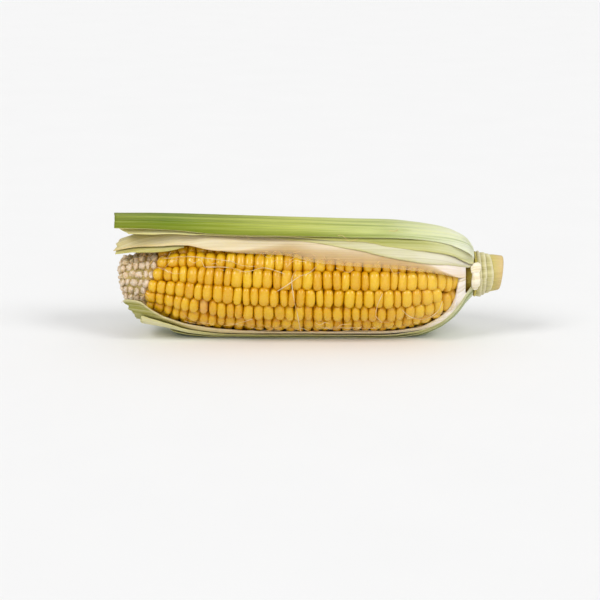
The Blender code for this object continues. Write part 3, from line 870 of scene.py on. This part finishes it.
def husk():
    """Leaves in three layers, from thin and pale inside to green outside, with a folded strip and a
    sliver."""
    silky = husk_skin("inner_husk_skin", (
        (0.0, "#D2C690"), (0.2, "#DCD0AA"), (0.6, "#DCCAAA"), (0.85, "#E6D4BA"), (1.0, "#F8EEE8"),
    ), "#F2EADC", "#DCCEA8", "#E4C48A", thin=True)
    cup = husk_skin("under_husk_skin", (
        (0.0, "#94963E"), (0.1, "#A8A450"), (0.22, "#CFBD80"), (0.5, "#E4D2AE"), (0.85, "#F4E6D4"),
        (1.0, "#FAF0EA"),
    ), "#F8F0DC", "#C8BC80", "#E4D8B4", streak=0.6)
    fold = husk_skin("folded_husk_skin", (
        (0.0, "#C6BE78"), (0.5, "#C8C28C"), (0.8, "#CECAA8"), (1.0, "#DCD6C2"),
    ), "#F4F0DC", "#C4BF78", "#C0B868")
    middle = husk_skin("middle_husk_skin", (
        (0.0, "#DDD092"), (0.12, "#E6E0B4"), (0.4, "#AEAE5A"), (0.7, "#9EA04C"), (0.86, "#B4B470"),
        (1.0, "#DEDEB8"),
    ), "#EAEAC0", "#A2A858", "#C8C070")
    # The outer leaf's dark olive margin colour, reaching 6 mm in from its edges, is painted shade where the
    # leaf curves under.
    outer = husk_skin("outer_husk_skin", (
        (0.0, "#74800C"), (0.15, "#6C8408"), (0.3, "#8E9A2C"), (0.5, "#B8BE5E"), (0.75, "#BCC480"),
        (0.9, "#D6DAB4"), (1.0, "#E8EAD6"),
    ), "#D8DC7C", "#98AA50", "#6E7A10", dried_and_shade=(6.0, 0.75), gloss=0.46, streak=0.65)
    inside = husk_skin("husk_inside_skin", (
        (0.0, "#D3CC84"), (0.5, "#DAD8A6"), (1.0, "#EAE6D0"),
    ), "#F4F2DC", "#CCC98C", "#D6CC92")

    # raised is how the inner top leaf stands out above its front edge, bulge how the middle one does at the
    # butt, and tucked how far the under leaves' front edges are bent in.
    raised = ((LEAF_TIP, 1.8), (-45, 1.8), (-25, 0.7), (0, 0.3))
    bulge = ((50, 0.0), (66, 1.2), (72, 2.2), (77, 3.2), (80, 3.0), (LEAF_BASE, 1.2))
    tucked = ((-70, -0.3), (-50, -1.1), (60, -1.1), (75, -0.5))
    husk_leaf(
        "inner_husk_top", "husk_inner_top", "husk_pale", (silky, silky), (INNER_TOP_EDGE, seam(166, 1)),
        (swelling(INNER_TOP, INNER_TOP_EDGE, raised), layer(0, SHINGLE)),
        ((0, -95.4), (0.3, -93.5), (0.5, -89), (1, -86)), 11, 2 * FLAT_STEP, torn=(FRONT_TEAR, 0), ragged=1.1,
        flute=0.25, rib=0.03, turn=0.4,
        thin=((LEAF_TIP, 0.0), (-44, 0.0), (-24, 4.0), (0, 9.5), (40, 10.0), (56, 6.0), (66, 2.0), (74, 0.0)),
    )
    husk_leaf(
        "inner_husk_under", "husk_inner_under", "husk_pale", (cup, cup), (seam(166, -1), INNER_UNDER_EDGE),
        (layer(0), layer(0)), ((0, -90), (0.6, -85), (0.8, -86), (1, -90.5)), 22, 2 * FLAT_STEP,
        torn=(0, FRONT_TEAR), ragged=2.0, flute=0.12, rib=0.03, wall=0.7, wander=1.6,
        rim=((-80, 0.6), (-60, -0.6), (55, -0.6), (66, -1.4), (75, -2.0)),
    )
    husk_leaf(
        "folded_husk_strip", "husk_strip_front", "husk_pale", (fold, fold), (STRIP_EDGE, STRIP_BACK_EDGE),
        (profile(STRIP), profile(STRIP)), ((0, -36), (0.5, -40), (1, -38)), 33, rib=0.04,
        curl=((-40, -0.6), (40, -0.9), (70, -1.2)),
    )
    husk_leaf(
        "tip_sliver", "husk_sliver_tip", "husk_pale", (fold, fold), (SLIVER_EDGE, SLIVER_BACK_EDGE),
        (profile(INNER_TOP, -1.3), profile(INNER_TOP, -1.3)), ((0, -94.6), (1, -93)), 44, base=-61,
        ragged=1.4, curl=((LEAF_TIP, 0.5), (-60, 0.0)), wander=2.0,
    )
    husk_leaf(
        "middle_husk_top", "husk_middle_top", "husk_light_green", (middle, inside),
        (MIDDLE_TOP_EDGE, seam(126, 1)), (swelling(MIDDLE_TOP, MIDDLE_TOP_EDGE, bulge), layer(1, SHINGLE)),
        ((0, -88.2), (0.2, -93.6), (0.4, -93), (1, -85)), 55, ragged=0.5, wander=1.1,
        curl=((-90, -0.2), (-50, -0.3), (-20, -1.0), (60, -1.1), (72, -2.0), (80, -1.6)),
    )
    husk_leaf(
        "middle_husk_back", "husk_middle_back", "husk_light_green", (middle, inside),
        (seam(126, -1), seam(234, 1)), (layer(1), layer(1, SHINGLE)), ((0, -85), (1, -87)), 66, FLAT_STEP,
        ragged=0.8, flute=0.15,
    )
    husk_leaf(
        "middle_husk_under", "husk_middle_under", "husk_light_green", (middle, inside),
        (seam(234, -1), MIDDLE_UNDER_EDGE), (layer(1), layer(1)), ((0, -85), (1, -82)), 77, FLAT_STEP,
        ragged=1.2, flute=0.1, wander=2.5, rim=tucked,
    )
    husk_leaf(
        "outer_husk_top", "husk_outer_top", "husk_green", (outer, inside), (OUTER_TOP_EDGE, seam(146, 1)),
        (profile(OUTER_TOP), layer(2, SHINGLE)),
        ((0, -94.8), (0.2, -95.4), (0.4, -96.4), (0.6, -91), (1, -84)), 88, ragged=0.12, flute=0.35, rib=0.07,
        wander=0.3, turn=0.2,
        curl=((LEAF_TIP, -0.2), (-60, -1.0), (56, -1.2), (68, -1.5), (76, -1.6), (LEAF_BASE, -0.8)),
        margin_inset=((0, 0.0), (30, 3.0), (60, 6.0)),
    )
    husk_leaf(
        "outer_husk_back", "husk_outer_back", "husk_green", (outer, inside), (seam(146, -1), seam(218, 1)),
        (layer(2), layer(2, SHINGLE)), ((0, -84), (1, -88)), 99, 0.0, ragged=0.2, rib=0.07,
    )
    husk_leaf(
        "outer_husk_under", "husk_outer_under", "husk_green", (outer, inside),
        (seam(218, -1), OUTER_UNDER_EDGE), (layer(2), layer(2)), ((0, -82), (1, -66)), 110, 0.0, ragged=0.8,
        flute=0.12, wander=2.5, rim=tucked,
    )


# Shank.


def stalk():
    """The shank: the ribbed stalk with its node, and the cut, which dishes a little as it dries."""
    x = np.concatenate([
        np.linspace(77.6, 82.2, 10), np.linspace(82.35, 84.2, 14), np.linspace(84.6, CUT_END, 26),
    ])
    a = np.radians(np.linspace(0, 360, 144, endpoint=False))[:, None]
    ribs = 0.09 * np.cos(a * 26)
    radius = curve(SHANK)(x)[None, :] + ribs + 0.15 * noise(a * 2.4, x[None, :] / 6, 8)
    slant = 0.12 * np.clip((x - COLLAR_END + 3) / 4, 0, 1)
    stations = x[None, :] + slant * radius * np.sin(a)

    # The cut face runs in from the stalk's end to its middle.
    inwards = np.linspace(0.06, 1, 14)[None, :]
    face = np.maximum(radius[:, -1:] * (1 - inwards), 0.02)
    spongy = 0.2 * noise(face * np.cos(a) / 1.6, face * np.sin(a) / 1.6, 4)
    dish = 0.45 * smooth_step(np.minimum(inwards * 2, 1)) + spongy
    stations = np.concatenate([stations, CUT_END - dish + 0.12 * face * np.sin(a)], axis=1)
    radius = np.concatenate([radius, face], axis=1)
    rind = np.concatenate([0 * x + 1, 1 - inwards[0]])[None, :] + 0 * a
    uv = np.stack([stations, a * 9 + 0 * stations], axis=-1) * MM
    mesh = grid_mesh("shank_stalk", place(stations, np.degrees(a), radius), uv, {"rind": rind}, closed=True)
    on_face = np.arange(radius.shape[1] - 1) >= len(x) - 1
    finish = np.concatenate([np.tile(on_face, len(a)), [0, 1]]).astype(np.int32)
    mesh.polygons.foreach_set("material_index", finish)
    add_piece("shank_stalk", mesh, "shank_green", "shank", materials=[shank_skin(), cut_pith()])


def sheath(skin):
    """The sheath left round the shank: thin, nested sleeves, with slanting, uneven edges that stand out in
    front."""
    t = np.linspace(0, 1, 180, endpoint=False)[:, None]
    s = np.linspace(0, 1, 24)[None, :]
    a = 2 * np.pi * t
    ribs = 0.05 * np.cos(a * 34)
    middle = (COLLAR_START + COLLAR_END) / 2
    for name, start, end, size, front, seed in (
        ("sheath_outer", 83.6, middle - 1.6, 11.9, 0.5, 3),
        ("sheath_middle", 83.9, middle + 0.4, 11.1, 1.3, 5),
        ("sheath_inner", 84.2, COLLAR_END - 0.6, 10.3, 1.9, 7),
    ):
        edge = end + front * np.cos(a) + 0.5 * np.sin(a + seed) + 0.3 * noise(t * 9, 0.5, seed)
        along = start + (edge - start) * s
        reach = size - 1.1 * (1 - s) ** 2 - 0.5 * s + 0.14 * noise(t * 16, s * 2, seed + 1) + ribs
        marks = {"margin": (1 - s) * (edge - start)}
        uv = np.stack([along, size * a + 0 * s], -1) * MM
        mesh = grid_mesh(name, place(along, np.degrees(a), reach), uv, marks, sleeve=True)
        thicken(add_piece(name, mesh, "shank_green", "sheath_collar", materials=[skin]), 0.45)


def lump(name, x, angle, radius, size, seed):
    """A torn leaf base: a spongy, fibrous lump. size is its half length along, round and out from the ear,
    in mm."""
    a = np.linspace(0, 2 * np.pi, 40, endpoint=False)[:, None]
    p = np.linspace(0.02, np.pi - 0.02, 28)[None, :]
    uneven = 0.22 * noise(a * 1.3, p * 2.2, seed) + 0.07 * noise(a * 6, p * 3, seed + 1)
    swell = 1 + uneven * np.sin(p)
    along = x - size[0] * np.sign(np.cos(p)) * np.abs(np.cos(p)) ** 0.8 * swell
    out = radius + size[2] * np.sin(p) ** 0.8 * np.sin(a) * swell
    turn = angle + np.degrees(size[1] * np.sin(p) ** 0.8 * np.cos(a) * swell / radius)
    uv = np.stack([along, turn * 0.2 + 0 * along], -1) * MM
    return grid_mesh(name, place(along, turn, out), uv, {"margin": 0 * out + WELL_INSIDE}, closed=True)


def shank():
    """The stalk, its sheath and the torn bases of the front leaves."""
    stalk()
    sheath(husk_skin("sheath_skin", (
        (0.0, "#B4AE66"), (0.95, "#AEA85C"), (1.0, "#C6BE86"),
    ), "#E4DCB4", "#B0A868", "#EEE6CC"))
    torn = husk_skin("torn_husk_base", (
        (0.0, "#EDE4C6"), (1.0, "#F0E8D0"),
    ), "#FCF8EE", "#DCCB96", "#E6D8A8", gloss=0.6)
    for name, node, *shape in (
        ("torn_base_knob", "torn_base_front", 82.9, -4, 11.6, (2.2, 4.6, 1.7), 2),
        ("torn_base_knob_upper", "torn_base_upper", 82.9, 26, 12.0, (2.6, 2.6, 1.0), 6),
    ):
        add_piece(name, lump(name, *shape), "husk_pale", node, materials=[torn])


# Silks.


def silk_tree():
    """Silk: a few strands that wander round each line, each a thin tube."""
    tree, given = group(
        "silk_along_line", ("Line", "Geometry"), ("Strands", "Int"), ("Spread", "Float"), ("Radius", "Float"),
        ("Seed", "Int"), ("Material", "Material"),
    )
    line = add(tree, "GeometryNodeMeshToCurve", {"Mesh": given["Line"]})
    strands = add(tree, "GeometryNodeDuplicateElements", {
        "Geometry": line, "Amount": given["Strands"],
    }, domain="SPLINE")
    index = strands.outputs["Duplicate Index"]
    apart = add(tree, "ShaderNodeMath", [index, 3.7, given["Seed"]], operation="MULTIPLY_ADD")
    waves = {"W": apart, "Scale": 1 / (7 * MM)}
    moved = shaken(tree, strands, waves, given["Spread"], noise_dimensions="4D")
    section = add(tree, "GeometryNodeCurvePrimitiveCircle", {
        "Resolution": 5, "Radius": given["Radius"],
    }, mode="RADIUS")
    tube = add(tree, "GeometryNodeCurveToMesh", {"Curve": moved, "Profile Curve": section, "Fill Caps": True})
    smooth = add(tree, "GeometryNodeSetShadeSmooth", {"Geometry": tube})
    finish_group(tree, smooth, given["Material"])
    return tree


def silk_lines(routes, steps=12):
    """Lines over the crowns, each through (station, angle, lift) points, in one mesh. Lift is in mm above a
    silk's least height over the crowns."""
    points, edges = [], []
    for route in routes:
        marks = np.arange(len(route))
        at = np.linspace(0, len(route) - 1, steps * (len(route) - 1) + 1)
        x, angle, lift = (curve(np.stack([marks, np.array(route)[:, k]], axis=-1))(at) for k in range(3))
        edges += [(len(points) + k, len(points) + k + 1) for k in range(len(at) - 1)]
        points += place(x, angle, curve(SILK_BED)(x) + SILK_LIFT + lift).tolist()
    mesh = bpy.data.meshes.new("lines")
    mesh.from_pydata(points, edges, [])
    return mesh


def stray_routes():
    """Short, fine silks: caught under the leaf's edge, between the lower rows, round the bare tip and on
    the folded strip."""
    rng = np.random.default_rng(5)
    routes = []
    for count, (first, last), (low, high), lift, reach in (
        (26, (-76, 60), (26, 44), 0.6, 14), (18, (-70, 66), (-58, -36), 0.5, 16),
        (10, (-93, -76), (20, 58), 2.0, 9), (7, (-93, -80), (-40, 10), 1.6, 6),
        (6, (-40, 40), (60, 66), 5.2, 13),
    ):
        for _ in range(count):
            x, angle = rng.uniform(first, last), rng.uniform(low, high)
            step, turn = reach * rng.uniform(0.4, 1.0) / 3, rng.uniform(-9, 9)
            bends = rng.uniform(-5, 5, 4)
            routes.append([
                (x + k * step, angle + turn * k / 3 + bends[k], lift * rng.uniform(0.3, 1.2))
                for k in range(4)
            ])
    return routes


def silks():
    """The six longest silks, and the fine ones that are caught between the rows and at the tip."""
    tree = silk_tree()
    fibre = silk_fibre()
    routes = (
        ((-6, 24, 0.3), (-8, 12, 0.2), (-7, -8, 0.2), (-5, -30, 0.2), (-4, -52, 0.3), (-3, -66, 0.5)),
        ((-50, 28, 0.2), (-40, 27, 0.4), (-30, 22, 0.2), (-22, 26, 0.2), (-12, 20, 0.3)),
        ((4, 27, 0.3), (0, 20, 0.4), (-4, 17, 1.1), (-10, 8, 1.0), (-15, 1, 0.2)),
        ((46, -22, 0.2), (51, -34, 0.4), (58, -40, 0.5), (64, -32, 0.5), (66, -18, 0.4)),
        ((-72, 45, 0.3), (-60, 43, 0.3), (-48, 38, 0.2), (-36, 33, 0.2)),
        ((36, -2, 0.3), (34, -14, 0.2), (33, -27, 0.2), (36, -38, 0.3)),
    )
    for number, route in enumerate(routes, start=1):
        mesh = grown(
            tree, "silk", silk_lines([route]), Strands=3, Spread=0.6 * MM, Radius=0.14 * MM, Seed=number,
            Material=fibre,
        )
        add_piece(f"silk_strand_{number}", mesh, "silk", f"silk_{number}")
    mesh = grown(
        tree, "silk", silk_lines(stray_routes(), 7), Strands=1, Spread=1.5 * MM, Radius=0.085 * MM, Seed=9,
        Material=fibre,
    )
    add_piece("stray_silks", mesh, "silk")


# Studio.


def studio():
    """A pale floor, even light from all round, windows high on the left and on the right, and weaker panels
    in front and overhead. A long lens looks at the ear's open front from a little above."""
    x, y = np.meshgrid(np.linspace(-9000, 9000, 3), np.linspace(-9000, 9000, 3), indexing="ij")
    points = np.stack([x, y, 0 * x - 0.02], axis=-1) * MM
    floor = bpy.data.objects.new("studio_floor", grid_mesh("studio_floor", points))
    bpy.context.scene.collection.objects.link(floor)
    floor.data.materials.append(studio_white())

    world = bpy.data.worlds.new("studio_air")
    world.use_nodes = True
    set_air = world.node_tree.nodes["Background"].inputs
    set_air["Color"].default_value = linear("#FFFFFF")
    set_air["Strength"].default_value = 0.47
    bpy.context.scene.world = world

    for name, power, spread, direction in (
        ("left_window", 1.2, 26, (-0.8, -0.7, 0.95)), ("right_window", 1.05, 26, (0.85, -0.7, 0.95)),
        ("front_panel", 0.48, 50, (0.1, -1.0, 0.32)), ("overhead_panel", 0.42, 70, (0.0, 0.5, 1.0)),
    ):
        light = bpy.data.lights.new(name, "SUN")
        light.energy = power
        light.angle = math.radians(spread)
        lamp = bpy.data.objects.new(name, light)
        lamp.rotation_euler = Vector(direction).to_track_quat("Z", "Y").to_euler()
        bpy.context.scene.collection.objects.link(lamp)

    # The camera aims below the ear, which so shows above the middle of the picture.
    elevation = math.radians(13)
    distance, below = 1.0, 9.75
    up = Vector((0, math.sin(elevation), math.cos(elevation)))
    aim = Vector((-4 * MM, 0, AXIS_HEIGHT * MM)) - up * below * MM
    camera = bpy.data.objects.new("camera", bpy.data.cameras.new("camera"))
    camera.data.sensor_width = 36
    camera.data.lens = 120
    camera.data.clip_end = 20
    camera.location = aim + Vector((0, -math.cos(elevation), math.sin(elevation))) * distance
    camera.rotation_euler = (math.pi / 2 - elevation, 0, 0)
    bpy.context.scene.collection.objects.link(camera)
    bpy.context.scene.camera = camera
    bpy.context.scene.view_settings.view_transform = "Standard"


def main():
    studio()
    tree = kernel_rows()
    cob(tree)
    husk()
    shank()
    silks()


main()
